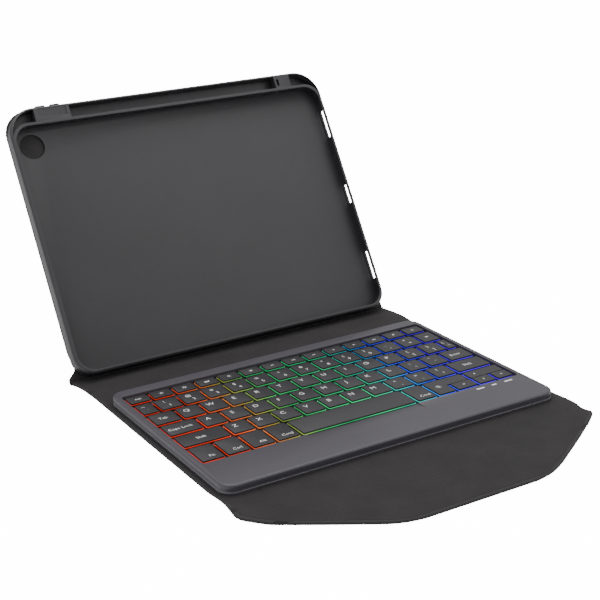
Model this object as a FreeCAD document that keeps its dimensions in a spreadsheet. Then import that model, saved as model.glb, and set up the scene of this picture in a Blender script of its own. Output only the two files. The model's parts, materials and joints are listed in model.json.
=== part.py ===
import FreeCAD, Part
import math
import os
import re
import Sketcher
from FreeCAD import Placement, Rotation, Vector

# Tablet keyboard case, opened flat on a table with its tablet shell standing.
# The folio is a chain of stiff panels joined by soft leather creases, from the back to the front:
# cover - spine - base - strip - tongue. The keyboard lies on the base and the tablet shell is
# glued to the cover. The origin is the centre of the base panel's underside; +X is to the right,
# +Y to the spine and +Z up. The cover and all that it carries are drawn in the cover's own frame,
# which starts on the cover crease: X to the right, Y up the cover and Z out of its inner face.

SIZES = {
    # folio panels
    "base_width": 251.0, "base_length": 198.0, "spine_width": 254.0, "spine_length": 22.0,
    "cover_width": 253.0, "cover_length": 196.0, "cover_corner": 18.0, "rest_tilt": 58.6,
    "strip_length": 26.0, "tongue_length": 38.2, "flap_width": 253.0, "flap_waist": 249.0,
    "flap_corner_front": 14.0, "tongue_width": 112.0, "flap_slope": 0.64,
    # folio layers: leather skin, stiffener board, lining, turned hem
    "leather": 0.6, "board": 0.8, "lining": 0.6, "panel": 2.0, "hem": 1.0, "crease_half": 1.6,
    # tablet shell, in the cover's frame
    "shell_width": 252.0, "shell_bottom": 1.3, "shell_top": 194.6, "shell_back_face": 1.0,
    "shell_back": 1.6, "shell_front_face": 11.0, "shell_lip": 1.4, "corner_low": 14.0,
    "corner_high": 20.0, "wall": 1.7,
    "tablet_width": 248.6, "tablet_bottom": 3.1, "tablet_height": 179.5, "tablet_corner": 12.0,
    "window_border": 1.0, "bay_wall": 1.0,
    "channel_left": -79.0, "channel_right": 88.8, "block_left": -105.5, "block_right": 102.2,
    "pad_inset": 2.6, "pad_depth": 0.5,
    "slot_x": 91.5, "slot_width": 1.8, "slot_height": 5.2,
    "camera_x": -110.3, "camera_y": 168.6, "camera_radius": 9.0, "camera_cover_radius": 11.0,
    "port_length": 15.0, "grille_length": 22.0, "grille_offset": 58.0,
    "volume_x": -98.9, "volume_pitch": 10.8, "volume_length": 7.2, "volume_rise": 1.3,
    "volume_recess": 0.9, "volume_sink": 0.3, "volume_travel": 0.5, "play": 0.3,
    # keyboard housing
    "kb_width": 243.0, "kb_back": 74.6, "kb_front": -84.8, "kb_corner": 9.0, "kb_seam": 4.6,
    "kb_top": 8.6, "kb_wall": 1.4, "kb_skin": 1.2, "kb_floor": 0.8, "kb_edge": 1.5,
    "well_left": -117.0, "well_width": 234.0, "well_back": 63.9, "well_front": -50.9,
    "well_rim": 0.3, "scoop_left": -46.0, "scoop_right": 36.0, "scoop_depth": 0.8,
    "scoop_reach": 10.0,
    # key stack, heights above the table
    "plate_low": 4.7, "plate": 0.4, "dome_sheet": 0.4, "guide": 0.4, "dome_radius": 2.2,
    "key_low": 7.2, "key_high": 8.2, "key_hollow": 0.4, "key_skirt": 1.0, "key_corner": 0.8,
    # key layout: a cell is a key and its gap
    "gap_across": 2.8, "key_depth": 15.0, "row_pitch": 18.8, "number_front": 32.25,
    "function_front": 51.65, "function_depth": 9.8, "bottom_front": -47.75,
    "bottom_depth": 19.8, "half_depth": 9.6, "letter_cell": 17.1, "function_count": 14,
    "grave_cell": 13.0, "backspace_cell": 15.8, "tab_cell": 19.5, "backslash_cell": 9.3,
    "caps_cell": 25.0, "enter_cell": 20.9, "shift_left_cell": 34.0, "shift_right_cell": 29.0,
    "modifier_cell": 17.25, "space_cell": 86.0, "command_cell": 16.6, "light_cell": 15.5,
    "arrow_left_cell": 17.5, "arrow_up_cell": 15.0, "arrow_right_cell": 14.4,
    # keyboard fittings
    "screw_radius": 0.75, "screw_head": 1.8, "screw_head_height": 0.6, "post_radius": 2.2,
    "post_joint": 3.6, "magnet_radius": 5.0, "magnet": 1.4, "switch_y": -72.6,
    "switch_length": 3.0, "switch_travel": 2.4, "switch_low": 5.0, "switch_high": 6.4,
    "port_y": -60.0, "indicator_y": -55.3, "indicator_depth": 1.6,
}

doc = FreeCAD.newDocument("tablet_keyboard_case")
sheet = doc.addObject("Spreadsheet::Sheet", "sizes")
for row, (alias, number) in enumerate(SIZES.items(), start=1):
    sheet.set(f"A{row}", str(number))
    sheet.setAlias(f"A{row}", alias)
doc.recompute()


def value(text):
    """The number that an expression of sheet sizes gives."""
    return float(sheet.evalExpression(str(text)))


def bound(text):
    """The same expression as another object of the document reads it."""
    return re.sub(r"[A-Za-z_]\w*", lambda word: "sizes." + word.group(0), str(text))


# the cover's own frame, and heights and places that several parts share
on_cover = Placement(Vector(0, value("base_length / 2 + spine_length"), value("panel / 2")),
                     Rotation(Vector(1, 0, 0), value("rest_tilt")))
SPLIT = "tablet_bottom + tablet_height + bay_wall"
SLOT_Y = "shell_top - wall - 7.6"
VOLUME_MIDDLE = "(shell_front_face + shell_back_face) / 2"
DOME_LOW = "plate_low + plate + dome_sheet"
GUIDE_TOP = "plate_low + plate + dome_sheet + guide"
MAGNETS = [(-104.0, 58.0), (-104.0, -62.0), (80.0, 58.0), (80.0, -62.0)]
INDICATORS = [("79.5", "6.5"), ("92", "4"), ("102.5", "6.5")]


# ---- drawing: each of these gives a function that draws one closed loop in a sketch

def tie(sketch, kind, where, text):
    index = sketch.addConstraint(Sketcher.Constraint(kind, *where, value(text)))
    sketch.setExpression(f"Constraints[{index}]", bound(text))


def rect(left, front, width, depth, radius=None):
    """A rectangle, with round corners if a radius is given. Every size is an expression."""
    def draw(sketch):
        x0, y0 = value(left), value(front)
        x1, y1 = x0 + value(width), y0 + value(depth)
        round_by = value(radius) if radius else 0.0
        first = sketch.GeometryCount
        ends = [
            ((x0 + round_by, y0), (x1 - round_by, y0)), ((x1, y0 + round_by), (x1, y1 - round_by)),
            ((x1 - round_by, y1), (x0 + round_by, y1)), ((x0, y1 - round_by), (x0, y0 + round_by)),
        ]
        lines = [Part.LineSegment(Vector(*a, 0), Vector(*b, 0)) for a, b in ends]
        sketch.addGeometry(lines, False)
        rules = [(name, first + side) for side, name in
                 enumerate(("Horizontal", "Vertical", "Horizontal", "Vertical"))]
        if radius:
            centres = [(x1 - round_by, y0 + round_by), (x1 - round_by, y1 - round_by),
                       (x0 + round_by, y1 - round_by), (x0 + round_by, y0 + round_by)]
            for corner, centre in enumerate(centres):
                start = (corner - 1) * math.pi / 2
                circle = Part.Circle(Vector(*centre, 0), Vector(0, 0, 1), round_by)
                sketch.addGeometry(Part.ArcOfCircle(circle, start, start + math.pi / 2), False)
                arc, after = first + 4 + corner, first + (corner + 1) % 4
                rules += [("Tangent", first + corner, 2, arc, 1), ("Tangent", arc, 2, after, 1)]
            rules += [("Equal", first + 4, first + 5), ("Equal", first + 5, first + 6)]
        else:
            rules += [("Coincident", first + k, 2, first + (k + 1) % 4, 1) for k in range(4)]
        sketch.addConstraint([Sketcher.Constraint(*rule) for rule in rules])
        if radius:
            tie(sketch, "Radius", (first + 4,), radius)
        tie(sketch, "DistanceX", (-1, 1, first + 3, 1), left)
        tie(sketch, "DistanceY", (-1, 1, first, 1), front)
        tie(sketch, "DistanceX", (first + 3, 1, first + 1, 1), width)
        tie(sketch, "DistanceY", (first, 1, first + 2, 1), depth)
    return draw


def disc(x, y, radius):
    def draw(sketch):
        centre = Vector(value(x), value(y), 0)
        index = sketch.addGeometry(Part.Circle(centre, Vector(0, 0, 1), value(radius)), False)
        tie(sketch, "Radius", (index,), radius)
        tie(sketch, "DistanceX", (-1, 1, index, 3), x)
        tie(sketch, "DistanceY", (-1, 1, index, 3), y)
    return draw


def discs(centres, radius):
    """Many equal circles, placed at points that are already in millimetres."""
    def draw(sketch):
        sketch.addGeometry([Part.Circle(Vector(x, y, 0), Vector(0, 0, 1), value(radius))
                            for x, y in centres], False)
    return draw


def plain_rect(x, y, width, depth):
    """A rectangle round its middle, in millimetres."""
    a, b = width / 2, depth / 2
    return outline([(x - a, y - b, 0.0), (x + a, y - b, 0.0), (x + a, y + b, 0.0), (x - a, y + b, 0.0)])


def rounded_path(corners):
    """Line and arc edges round a closed outline of (x, y, corner radius)."""
    points = [Vector(x, y, 0) for x, y, _ in corners]
    arcs = []
    for k, (_, _, radius) in enumerate(corners):
        here = points[k]
        back = (points[k - 1] - here).normalize()
        ahead = (points[(k + 1) % len(points)] - here).normalize()
        half = math.acos(max(-1.0, min(1.0, back.dot(ahead)))) / 2
        trim = radius / math.tan(half)
        bisector = (back + ahead).normalize()
        middle = here + bisector * (radius / math.sin(half) - radius)
        arcs.append((here + back * trim, middle, here + ahead * trim, radius))
    edges = []
    for k, (start, middle, end, radius) in enumerate(arcs):
        if radius:
            edges.append(Part.Arc(start, middle, end))
        following = arcs[(k + 1) % len(arcs)][0]
        if (following - end).Length > 1e-6:
            edges.append(Part.LineSegment(end, following))
    return edges


def outline(corners):
    def draw(sketch):
        sketch.addGeometry(rounded_path(corners), False)
    return draw


# ---- features

def make_body(label, placement=None):
    body = doc.addObject("PartDesign::Body", label)
    body.Label = label
    body.AllowCompound = True
    if placement:
        body.Placement = placement
    return body


def origin_feature(body, role):
    return next(item for item in body.Origin.OriginFeatures if item.Role == role)


def make_sketch(body, height, loops, plane="XY_Plane"):
    sketch = body.newObject("Sketcher::SketchObject", body.Label + "_sketch")
    sketch.AttachmentSupport = [(origin_feature(body, plane), "")]
    sketch.MapMode = "FlatFace"
    sketch.setExpression("AttachmentOffset.Base.z", bound(height))
    for loop in loops:
        loop(sketch)
    return sketch


def add(body, low, high, *loops):
    """Material between two heights, inside the loops."""
    pad = body.newObject("PartDesign::Pad", body.Label + "_pad")
    pad.Profile = make_sketch(body, low, loops)
    pad.setExpression("Length", bound(f"({high}) - ({low})"))
    body.Tip = pad
    return pad


def cut(body, low, high, *loops, plane="XY_Plane"):
    """Takes away what is inside the loops between two heights, and checks that it did."""
    doc.recompute()
    before = body.Shape.Volume
    pocket = body.newObject("PartDesign::Pocket", body.Label + "_pocket")
    pocket.Profile = make_sketch(body, low, loops, plane)
    pocket.Reversed = True
    pocket.setExpression("Length", bound(f"({high}) - ({low})"))
    body.Tip = pocket
    doc.recompute()
    if body.Shape.Volume >= before:
        raise RuntimeError(f"a pocket of {body.Label} cuts nothing")
    return pocket


def fillet_level(body, height, radius):
    """Rounds every edge of the body that lies flat at one height."""
    doc.recompute()
    level, base = value(height), body.Tip
    names = []
    for number, edge in enumerate(base.Shape.Edges, start=1):
        box = edge.BoundBox
        if abs(box.ZMin - level) < 1e-4 and abs(box.ZMax - level) < 1e-4:
            names.append(f"Edge{number}")
    fillet = body.newObject("PartDesign::Fillet", body.Label + "_fillet")
    fillet.Base = (base, names)
    fillet.setExpression("Radius", bound(radius))
    body.Tip = fillet
    doc.recompute()


def centred(width, front, depth, radius=None):
    return rect(f"-({width}) / 2", front, width, depth, radius)


# ---- folio

def tray(body, shape, inner):
    """A leather panel whose turned hem stands up round its board and lining."""
    add(body, "0", "panel", shape)
    cut(body, "leather", "panel", inner)


def base_panel():
    front = "-base_length / 2 + crease_half"
    depth = "base_length - 2 * crease_half"
    inner = centred("base_width - 2 * hem", front + " + hem", depth + " - 2 * hem")
    tray(make_body("base_leather"), centred("base_width", front, depth), inner)
    board = make_body("base_board")
    add(board, "leather", "leather + board", inner)
    cut(board, "leather", "leather + board", discs(MAGNETS, "magnet_radius + play"))
    plates = make_body("base_keeper_plates")
    add(plates, "leather", "leather + board", discs(MAGNETS, "magnet_radius"))
    add(make_body("base_lining"), "leather + board", "panel", inner)


def spine_panel():
    front = "base_length / 2 + crease_half"
    depth = "spine_length - 2 * crease_half"
    inner = centred("spine_width - 2 * hem", front + " + hem", depth + " - 2 * hem")
    tray(make_body("spine_leather"), centred("spine_width", front, depth), inner)
    add(make_body("spine_board"), "leather", "leather + board", inner)
    add(make_body("spine_lining"), "leather + board", "panel", inner)


def flap_half_width(y):
    """Half the flap's width, where its slanted sides run to the front edge."""
    corner_y = -value("base_length") / 2 - value("flap_corner_front")
    return value("flap_width") / 2 - max(0.0, corner_y - y) / value("flap_slope")


def mirrored(right_side):
    """A closed outline from its right half, given from the back to the front."""
    left_side = [(-x, y, radius) for x, y, radius in reversed(right_side)]
    return right_side + left_side


def strip_panel():
    back = -value("base_length / 2 + crease_half")
    front = -value("base_length / 2 + strip_length - crease_half")
    corner = -value("base_length / 2 + flap_corner_front")

    def shape(inset):
        side = value("flap_width") / 2 - inset
        return outline(mirrored([
            (value("flap_waist") / 2 - inset, back - inset, 0.0), (side, back - 7.0, 6.0),
            (side, corner - inset / 2, 4.0),
            (flap_half_width(front) - inset * 1.2, front + inset, 0.0),
        ]))

    inner = shape(value("hem"))
    tray(make_body("strip_leather"), shape(0.0), inner)
    add(make_body("strip_board"), "leather", "leather + board", inner)
    add(make_body("strip_lining"), "leather + board", "panel", inner)


def tongue_panel():
    back = -value("base_length / 2 + strip_length + crease_half")
    front = -value("base_length / 2 + strip_length + tongue_length")

    def shape(inset):
        return outline(mirrored([
            (flap_half_width(back) - inset * 1.2, back - inset, 0.0),
            (value("tongue_width") / 2 - inset * 0.6, front + inset, 26.0),
        ]))

    inner = shape(value("hem"))
    tray(make_body("tongue_leather"), shape(0.0), inner)
    magnets = [(x, back - 15.0) for x in (-60.0, -20.0, 20.0, 60.0)]
    board = make_body("tongue_board")
    add(board, "leather", "leather + board", inner)
    cut(board, "leather", "leather + board", discs(magnets, "magnet_radius + play"))
    add(make_body("tongue_magnets"), "leather", "leather + board",
        discs(magnets, "magnet_radius"))
    add(make_body("tongue_lining"), "leather + board", "panel", inner)


def flat_crease(label, y, width):
    add(make_body(label), "0", "leather + lining",
        centred(width, f"{y} - crease_half", "2 * crease_half"))


def tongue_crease():
    """The crease between the strip and the tongue, as wide as the slanted flap is there."""
    middle = -value("base_length / 2 + strip_length")
    back, front = middle + value("crease_half"), middle - value("crease_half")
    shape = mirrored([(flap_half_width(back), back, 0.0), (flap_half_width(front), front, 0.0)])
    add(make_body("tongue_fold_leather"), "0", "leather + lining", outline(shape))


def cover_crease():
    """The leather that turns up from the spine to the standing cover."""
    body = make_body("cover_fold_leather")
    tilt = math.radians(value("rest_tilt"))
    outer = value("panel") / 2 + value("crease_half") / math.tan(tilt / 2)
    inner = outer - value("leather + lining")
    crease_y = value("base_length / 2 + spine_length")
    centre = Vector(crease_y - value("crease_half"), outer, 0)

    def on_arc(radius, angle):
        return centre + Vector(radius * math.sin(angle), -radius * math.cos(angle), 0)

    def draw(sketch):
        sketch.addGeometry([
            Part.Arc(*[on_arc(outer, tilt * part) for part in (0, 0.5, 1)]),
            Part.LineSegment(on_arc(outer, tilt), on_arc(inner, tilt)),
            Part.Arc(*[on_arc(inner, tilt * part) for part in (1, 0.5, 0)]),
            Part.LineSegment(on_arc(inner, 0), on_arc(outer, 0)),
        ], False)

    pad = body.newObject("PartDesign::Pad", "cover_fold_pad")
    pad.Profile = make_sketch(body, "-cover_width / 2", [draw], "YZ_Plane")
    pad.setExpression("Length", bound("cover_width"))
    body.Tip = pad


def cover_panel():
    low, high = "-panel / 2", "panel / 2"
    top = "cover_length - crease_half"
    leather = make_body("cover_leather", on_cover)
    add(leather, low, high, cover_loop("0"))
    cut(leather, "leather - panel / 2", high, cover_loop("hem"))
    camera = disc("camera_x", "camera_y", "camera_cover_radius")
    slot = lanyard_slot()
    cut(leather, low, high, camera, slot)
    board = make_body("cover_board", on_cover)
    add(board, "leather - panel / 2", high, cover_loop("hem"))
    cut(board, "leather - panel / 2", high,
        disc("camera_x", "camera_y", "camera_cover_radius + 1"),
        rect("slot_x - 2", f"{SLOT_Y} - 1", "4", "slot_height + 2"))
    keeper = centred("130", f"{top} - 32", "22")
    cut(board, "leather - panel / 2", "leather - panel / 2 + board", keeper)
    add(make_body("cover_magnet_plate", on_cover),
        "leather - panel / 2", "leather - panel / 2 + board", keeper)


def cover_loop(inset):
    """The cover's outline, square at the crease and round at its two far corners."""
    edge = value(inset)
    side = value("cover_width") / 2 - edge
    back, top = value("crease_half") + edge, value("cover_length") - edge
    far = value("cover_corner") - edge
    return outline([(-side, back, 0.0), (side, back, 0.0), (side, top, far), (-side, top, far)])


def lanyard_slot():
    return rect("slot_x - slot_width / 2", SLOT_Y, "slot_width", "slot_height")


# ---- tablet shell

def shell_loop(inset):
    side = value("shell_width") / 2 - inset
    low, high = value("shell_bottom") + inset, value("shell_top") - inset
    below, above = value("corner_low") - inset, value("corner_high") - inset
    return outline([(-side, low, below), (side, low, below), (side, high, above), (-side, high, above)])


def tablet_loop(grow, corner_grow=0.0):
    """The tablet's outline, made larger all round by grow."""
    return rect(f"-tablet_width / 2 - ({grow})", f"tablet_bottom - ({grow})",
                f"tablet_width + 2 * ({grow})", f"tablet_height + 2 * ({grow})",
                f"tablet_corner + ({grow}) + ({corner_grow})")


def corner_cavity(side):
    """The hollow between the tablet's round corner and the shell's larger one; side is -1 or 1."""
    outer_radius = value("corner_high - wall")
    outer_centre = Vector(value("shell_width / 2 - corner_high"), value("shell_top - corner_high"), 0)
    inner_radius = value("tablet_corner + bay_wall")
    inner_centre = Vector(value("tablet_width / 2 - tablet_corner"),
                          value("tablet_bottom + tablet_height - tablet_corner"), 0)
    between = inner_centre - outer_centre
    along = (outer_radius ** 2 - inner_radius ** 2 + between.Length ** 2) / (2 * between.Length)
    aside = math.sqrt(outer_radius ** 2 - along ** 2)
    unit = Vector(between).normalize()
    across = Vector(-unit.y, unit.x, 0)
    meets = [outer_centre + unit * along + across * aside * sign for sign in (-1, 1)]
    tip = max(meets, key=lambda point: point.x)
    block = value("block_right" if side > 0 else "-block_left")
    floor, roof = value(SPLIT), value("shell_top - wall")

    def angle(centre, point):
        return math.atan2(point.y - centre.y, point.x - centre.x)

    def on_arc(centre, radius, turn):
        return centre + Vector(radius * math.cos(turn), radius * math.sin(turn), 0)

    outer_tip, inner_tip = angle(outer_centre, tip), angle(inner_centre, tip)
    start = on_arc(outer_centre, outer_radius, math.pi / 2)
    outer_mid = on_arc(outer_centre, outer_radius, (math.pi / 2 + outer_tip) / 2)
    inner_mid = on_arc(inner_centre, inner_radius, (math.pi / 2 + inner_tip) / 2)
    inner_end = on_arc(inner_centre, inner_radius, math.pi / 2)
    low_block, high_block = Vector(block, floor, 0), Vector(block, roof, 0)
    if block > start.x:
        raise RuntimeError("the corner block reaches past the corner's arc")
    points = [high_block, start, outer_mid, tip, inner_mid, inner_end, low_block]
    high_block, start, outer_mid, tip, inner_mid, inner_end, low_block = [
        Vector(side * point.x, point.y, 0) for point in points]

    def draw(sketch):
        sketch.addGeometry([
            Part.LineSegment(high_block, start), Part.Arc(start, outer_mid, tip),
            Part.Arc(tip, inner_mid, inner_end), Part.LineSegment(inner_end, low_block),
            Part.LineSegment(low_block, high_block),
        ], False)
    return draw


def shell_moulding(label, keep_bay):
    """The soft frame, drawn whole and then cut at the stylus bay; it is one moulding in use."""
    body = make_body(label, on_cover)
    front, back = "shell_front_face", "shell_back_face"
    add(body, back, front, shell_loop(0.0))
    fillet_level(body, front, "2.2")
    fillet_level(body, back, "0.8")
    if keep_bay:
        cut(body, back, front, centred("shell_width + 2", "0", SPLIT))
        cut(body, f"{back} + shell_back", front,
            rect("channel_left", f"{SPLIT} - 1", "channel_right - channel_left",
                 f"shell_top - wall - ({SPLIT}) + 1"))
        cut(body, f"{front} - pad_depth", front,
            rect("block_left + pad_inset", f"{SPLIT} + pad_inset",
                 "channel_left - block_left - 2 * pad_inset", "shell_top - wall - pad_inset"
                 f" - ({SPLIT})", "1"))
        cut(body, back, front, lanyard_slot())
        for number in range(2):
            middle = f"volume_x + {number} * volume_pitch"
            cut(body, f"{VOLUME_MIDDLE} - 1 - play", f"{VOLUME_MIDDLE} + 1 + play",
                rect(f"{middle} - 2 - play", f"{SPLIT} - 1", "4 + 2 * play", "20"))
            cut(body, f"{VOLUME_MIDDLE} - 2.5 - play", f"{VOLUME_MIDDLE} + 2.5 + play",
                rect(f"{middle} - volume_length / 2 - play", "shell_top - volume_recess",
                     "volume_length + 2 * play", "5"))
    else:
        cut(body, back, front, centred("shell_width + 2", SPLIT, "20"))
        cut(body, back, f"{front} - shell_lip", tablet_loop("0"))
        cut(body, f"{front} - shell_lip", front, tablet_loop("-window_border", "1"))
        side = "tablet_width / 2 - 1"
        middle = "tablet_bottom + tablet_height / 2"
        openings = [("0", "port_length"), ("grille_offset", "grille_length"),
                    ("-grille_offset", "grille_length")]
        for offset, length in openings:
            cut(body, f"{back} + 2.4", f"{front} - 2.8",
                rect(side, f"{middle} + {offset} - {length} / 2", "6", length))
    for corner in (-1, 1):
        cut(body, f"{back} + shell_back", front, corner_cavity(corner))


def tablet_shell():
    back = make_body("shell_back", on_cover)
    add(back, "shell_back_face", "shell_back_face + shell_back", tablet_loop("0"))
    cut(back, "shell_back_face", "shell_back_face + shell_back",
        disc("camera_x", "camera_y", "camera_radius"))
    shell_moulding("shell_bumper", keep_bay=False)
    shell_moulding("stylus_bay", keep_bay=True)
    for number, label in enumerate(("volume_up_button", "volume_down_button")):
        middle = f"volume_x + {number} * volume_pitch"
        button = make_body(label, on_cover)
        add(button, f"{VOLUME_MIDDLE} - 2.5", f"{VOLUME_MIDDLE} + 2.5",
            rect(f"{middle} - volume_length / 2", "shell_top - volume_sink", "volume_length",
                 "volume_rise + volume_sink", "0.7"))
        foot = f"{SPLIT} + volume_travel + 0.1"
        add(button, f"{VOLUME_MIDDLE} - 1", f"{VOLUME_MIDDLE} + 1",
            rect(f"{middle} - 2", foot, "4", f"shell_top - volume_sink - ({foot}) + 0.2"))


# ---- keyboard

def housing_loop(inset):
    return centred(f"kb_width - 2 * ({inset})", f"kb_front + ({inset})",
                   f"kb_back - kb_front - 2 * ({inset})", f"kb_corner - ({inset})")


def well_loop(grow, radius="2"):
    return rect(f"well_left - ({grow})", f"well_front - ({grow})", f"well_width + 2 * ({grow})",
                f"well_back - well_front + 2 * ({grow})", radius)


def screw_places():
    return [(x, y) for y in (70.4, -79.4) for x in (-112.0, 0.0 if y > 0 else 72.0, 112.0)]


def side_opening(y_text, length):
    """A rectangle that runs out through the right wall of the housing."""
    return rect("kb_width / 2 - kb_wall - 1", f"{y_text}", "kb_wall + 2", length)


def top_case():
    body = make_body("keyboard_top_case")
    add(body, "kb_seam", "kb_top", housing_loop("0"))
    fillet_level(body, "kb_top", "kb_edge")
    roof = "kb_top - kb_skin"
    cut(body, "kb_seam", GUIDE_TOP, housing_loop("kb_wall"))
    cut(body, GUIDE_TOP, roof, housing_loop("kb_wall"), well_loop("kb_skin", "3"))
    cut(body, GUIDE_TOP, "kb_top", well_loop("well_rim"))
    # thumb scoop in front of the space bar, deepest at the well
    edge, top = value("well_front"), value("kb_top")
    reach, sink = value("scoop_reach"), value("scoop_depth")
    wedge = [(edge + 0.5, top + 0.2, 0.0), (edge + 0.5, top - sink, 0.0),
             (edge - value("well_rim"), top - sink, 0.0), (edge - reach, top + 0.1, 0.0)]
    cut(body, "scoop_left", "scoop_right", outline(wedge), plane="YZ_Plane")
    cut(body, roof, "kb_top", *[rect(x, "indicator_y - indicator_depth / 2", width,
                                    "indicator_depth", "0.6") for x, width in INDICATORS])
    add(body, "post_joint", roof, discs(screw_places(), "post_radius"))
    cut(body, "post_joint", f"{roof} - 1", discs(screw_places(), "screw_radius + 0.05"))
    cut(body, "switch_low - play", "switch_high + play",
        side_opening("switch_y - switch_length / 2 - play",
                     "switch_length + switch_travel + 2 * play"))
    cut(body, "kb_seam", "6.3", side_opening("port_y - 4.6", "9.2"))


def bottom_case():
    body = make_body("keyboard_bottom_case")
    add(body, "panel", "kb_seam", housing_loop("0"))
    cut(body, "panel + kb_floor", "kb_seam", housing_loop("kb_wall"))
    add(body, "panel + kb_floor - 0.1", "post_joint",
        discs(screw_places(), "post_radius"))
    cut(body, "panel", "post_joint", discs(screw_places(), "screw_radius + 0.1"))
    cut(body, "panel", "panel + screw_head_height",
        discs(screw_places(), "screw_head + 0.1"))
    cut(body, "2.9", "kb_seam", side_opening("port_y - 4.6", "9.2"))


def keyboard_inside():
    floor = "panel + kb_floor"
    screws = make_body("case_screws")
    add(screws, "panel", "panel + screw_head_height",
        discs(screw_places(), "screw_head"))
    add(screws, "panel + screw_head_height - 0.05", "kb_top - kb_skin - 1.2",
        discs(screw_places(), "screw_radius"))
    add(make_body("keyboard_magnets"), floor, f"{floor} + magnet",
        discs(MAGNETS, "magnet_radius"))
    add(make_body("battery"), f"{floor} + 0.05", "kb_top - kb_skin - 0.5",
        rect("-84", "-76", "66", "22", "2"), rect("-14", "-76", "66", "22", "2"))
    add(make_body("circuit_board"), f"{floor} + 0.1", f"{floor} + 1.1",
        rect("92", "-68", "22", "134"))
    plate = make_body("key_plate")
    add(plate, "plate_low", "plate_low + plate", stack_loop())
    domes = make_body("rubber_domes")
    add(domes, "plate_low + plate", DOME_LOW, stack_loop())
    add(domes, DOME_LOW, "key_high - key_hollow - 0.35",
        discs(key_centres(), "dome_radius"))
    guide = make_body("light_guide")
    add(guide, DOME_LOW, GUIDE_TOP, stack_loop())
    cut(guide, DOME_LOW, GUIDE_TOP, discs(key_centres(), "dome_radius + play"))
    lamps = [plain_rect(x, value("well_back + 1.8"), 3.0, 1.2) for x in range(-110, 111, 11)]
    add(make_body("backlight_leds"), DOME_LOW, f"{GUIDE_TOP} - 0.05", *lamps)
    links = []
    for x, y in key_centres():
        small = min(abs(y - value("function_front + function_depth / 2")), 1.0) < 0.5
        depth = 6.0 if small or on_half_row(x, y) else 9.0
        width = 5.6 if is_narrow(x, y) else 9.0
        links.append(plain_rect(x, y, width, depth))
        links.append(plain_rect(x, y, 5.0, 5.0))
    add(make_body("scissor_links"), f"{GUIDE_TOP} + 0.1", "key_low - 0.05", *links)
    add(make_body("indicator_lenses"), "kb_top - kb_skin", "kb_top", *[
        rect(f"{x} + 0.05", "indicator_y - indicator_depth / 2 + 0.05", f"{width} - 0.1",
             "indicator_depth - 0.1", "0.5") for x, width in INDICATORS])
    switch = make_body("power_switch")
    add(switch, "switch_low", "switch_high",
        rect("kb_width / 2 - kb_wall - 2", "switch_y - switch_length / 2", "kb_wall + 2.8",
             "switch_length", "0.4"))
    port = make_body("charging_port")
    add(port, "3", "6.2", rect("kb_width / 2 - 7", "port_y - 4.5", "6.8", "9"))
    cut(port, "3.7", "5.5", rect("kb_width / 2 - 5.5", "port_y - 3.9", "6", "7.8"))


def stack_loop():
    """The outline that the key plate, the dome sheet and the light guide share."""
    return well_loop("1", "1")


def key_rows():
    """Every key: (node, left edge of its cell, cell width, front edge, depth), as expressions."""
    rows = []

    def run(front, depth, cells):
        left = "well_left"
        for node, cell, count in cells:
            rows.append((node, left, cell, count, front, depth))
            left = f"{left} + {count} * {cell}"

    letters = "letter_cell"
    run("function_front", "function_depth", [("function_keys", "(well_width / function_count)", 14)])
    run("number_front", "key_depth",
        [("number_keys", "grave_cell", 1), ("number_keys", letters, 12),
         ("backspace_key", "backspace_cell", 1)])
    run("number_front - row_pitch", "key_depth",
        [("tab_key", "tab_cell", 1), ("upper_letter_keys", letters, 12),
         ("backslash_key", "backslash_cell", 1)])
    run("number_front - 2 * row_pitch", "key_depth",
        [("caps_key", "caps_cell", 1), ("home_letter_keys", letters, 11),
         ("enter_key", "enter_cell", 1)])
    run("number_front - 3 * row_pitch", "key_depth",
        [("shift_left_key", "shift_left_cell", 1), ("lower_letter_keys", letters, 10),
         ("shift_right_key", "shift_right_cell", 1)])
    run("bottom_front", "bottom_depth",
        [("modifier_keys", "modifier_cell", 4), ("space_key", "space_cell", 1),
         ("modifier_keys", "command_cell", 1)])
    return rows


def half_row_keys():
    """The light key and the four arrows: (node, left edge, width, front edge, depth)."""
    light = "well_left + 4 * modifier_cell + space_cell + command_cell"
    left = f"{light} + light_cell"
    middle = f"{left} + arrow_left_cell"
    right = f"{middle} + arrow_up_cell"
    upper = "bottom_front + bottom_depth - half_depth"
    return {
        "backlight_key": (light, "light_cell", "bottom_front", "bottom_depth"),
        "arrow_left_key": (left, "arrow_left_cell", "bottom_front", "half_depth"),
        "arrow_up_key": (middle, "arrow_up_cell", upper, "half_depth"),
        "arrow_down_key": (middle, "arrow_up_cell", "bottom_front", "half_depth"),
        "arrow_right_key": (right, "arrow_right_cell", "bottom_front", "half_depth"),
    }


def key_centres():
    """The middle of every key, in millimetres."""
    centres = []
    for _, left, cell, count, front, depth in key_rows():
        for number in range(count):
            x = value(f"{left} + ({number} + 0.5) * {cell}")
            centres.append((x, value(f"{front} + {depth} / 2")))
    for left, cell, front, depth in half_row_keys().values():
        centres.append((value(f"{left} + {cell} / 2"), value(f"{front} + {depth} / 2")))
    return centres


def on_half_row(x, y):
    places = [(value(f"{left} + {cell} / 2"), value(f"{front} + {depth} / 2"))
              for left, cell, front, depth in half_row_keys().values() if depth == "half_depth"]
    return any(abs(x - a) < 1 and abs(y - b) < 1 for a, b in places)


def is_narrow(x, y):
    edge = value("well_left + well_width - backslash_cell")
    row_y = value("number_front - row_pitch + key_depth / 2")
    return x > edge and abs(y - row_y) < 1


def cap(body, loop, hollow):
    """A key cap: a plate with a shallow hollow under it."""
    top = add(body, "key_low", "key_high", loop)
    under = cut(body, "key_low", "key_low + key_hollow", hollow)
    return [top, under]


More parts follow.
